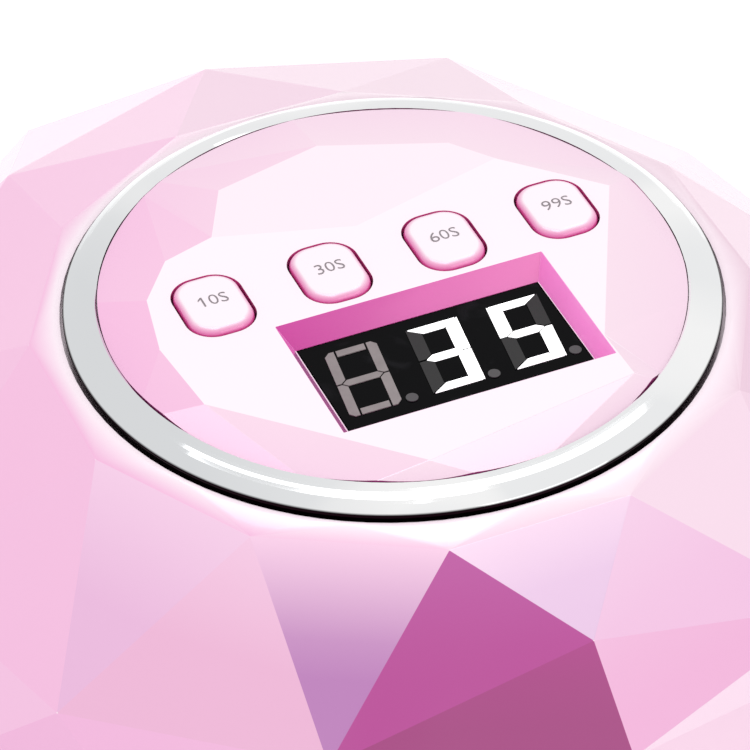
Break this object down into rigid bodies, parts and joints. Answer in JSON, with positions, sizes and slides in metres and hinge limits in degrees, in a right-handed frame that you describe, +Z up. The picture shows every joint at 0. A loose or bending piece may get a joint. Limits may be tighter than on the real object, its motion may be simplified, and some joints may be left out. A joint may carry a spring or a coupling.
{
  "type": "uv led nail lamp",
  "caption": "Faceted dome nail-curing lamp with a ringed round control panel, timer buttons, a three-digit display, a front hand opening and a removable tray.",
  "frame": {"origin": "on the table, at the centre of the lamp's bounding box seen from above", "axes": "+Z up from the table, -Y out of the hand opening, +X to the right of a person facing the opening from the front"},
  "size_m": [0.212, 0.206, 0.0971],
  "materials": {
    "pearl_pink_shell": "glossy pearl pink with a soft metallic shift from facet to facet",
    "pearl_pink_panel": "glossy pearl pink, a little paler than the shell",
    "pearl_pink_button": "glossy pearl pink with thin grey printed time marks",
    "bright_chrome": "mirror-bright plated ring",
    "black_display": "glossy black display face",
    "lit_white": "lit white display segments",
    "unlit_grey": "unlit translucent grey display segments",
    "unlit_dot": "unlit dark grey decimal points of the display",
    "black_plastic": "matte black moulded plastic",
    "green_board": "green solder-masked circuit board",
    "switch_metal": "tinned steel",
    "ivory_socket": "ivory moulded plastic",
    "zinc_screw": "bright zinc-plated screw steel",
    "silver_liner": "bright silver reflective coating on moulded plastic",
    "aluminium_board": "aluminium with a pale solder mask",
    "yellow_chip": "yellow phosphor window in a white package",
    "clear_lens": "clear moulded lens",
    "dark_window": "dark infrared filter plastic",
    "blue_sleeve": "dark blue shrink sleeve",
    "copper_winding": "enamelled copper winding",
    "cable_red": "flat red cable sheath",
    "cable_grey": "flat grey cable sheath",
    "white_base": "white moulded plastic",
    "black_rubber": "soft matt black rubber",
    "nickel_magnet": "nickel-plated disc"
  },
  "bodies": {
    "root": {"top_shell": "pearl_pink_shell", "chrome_ring": "bright_chrome", "control_panel": "pearl_pink_panel", "display_case": "black_display", "lit_segments": "lit_white", "unlit_segments": "unlit_grey", "decimal_dots": "unlit_dot", "display_pins": "switch_metal", "control_board": "green_board", "switch_bases": "switch_metal", "buzzer": "black_plastic", "control_chip": "black_plastic", "cable_sockets": "ivory_socket", "control_board_screws": "zinc_screw", "panel_screws": "zinc_screw", "reflector_liner": "silver_liner", "led_board_top": "aluminium_board", "led_board_left": "aluminium_board", "led_board_right": "aluminium_board", "led_board_rear": "aluminium_board", "led_chips": "yellow_chip", "led_lenses": "clear_lens", "led_board_screws": "zinc_screw", "sensor_window": "dark_window", "sensor_board": "green_board", "sensor_diodes": "black_plastic", "power_board": "green_board", "power_heat_sink": "aluminium_board", "power_capacitors": "blue_sleeve", "power_inductor": "copper_winding", "power_chip": "black_plastic", "dc_jack": "black_plastic", "dc_jack_pin": "switch_metal", "control_cable": "cable_red", "led_cable": "cable_grey", "sensor_cable": "cable_grey", "base_frame": "white_base", "base_screws": "zinc_screw", "rubber_feet": "black_rubber", "magnets": "nickel_magnet"},
    "button_10s_body": {"button_10s": "pearl_pink_button", "plunger_10s": "black_plastic"},
    "button_30s_body": {"button_30s": "pearl_pink_button", "plunger_30s": "black_plastic"},
    "button_60s_body": {"button_60s": "pearl_pink_button", "plunger_60s": "black_plastic"},
    "button_99s_body": {"button_99s": "pearl_pink_button", "plunger_99s": "black_plastic"},
    "tray_body": {"tray": "white_base", "tray_discs": "nickel_magnet"}
  },
  "joints": [
    {"name": "press_10s", "type": "slide", "parent": "root", "child": "button_10s_body", "axis": [0, 0, -1], "range_m": [0, 0.0006], "stiffness_N_per_m": 1500, "springref_m": -0.0004},
    {"name": "press_30s", "type": "slide", "parent": "root", "child": "button_30s_body", "axis": [0, 0, -1], "range_m": [0, 0.0006], "stiffness_N_per_m": 1500, "springref_m": -0.0004},
    {"name": "press_60s", "type": "slide", "parent": "root", "child": "button_60s_body", "axis": [0, 0, -1], "range_m": [0, 0.0006], "stiffness_N_per_m": 1500, "springref_m": -0.0004},
    {"name": "press_99s", "type": "slide", "parent": "root", "child": "button_99s_body", "axis": [0, 0, -1], "range_m": [0, 0.0006], "stiffness_N_per_m": 1500, "springref_m": -0.0004},
    {"name": "tray_slide", "type": "slide", "parent": "root", "child": "tray_body", "axis": [0, -1, 0], "range_m": [0, 0.17]}
  ]
}
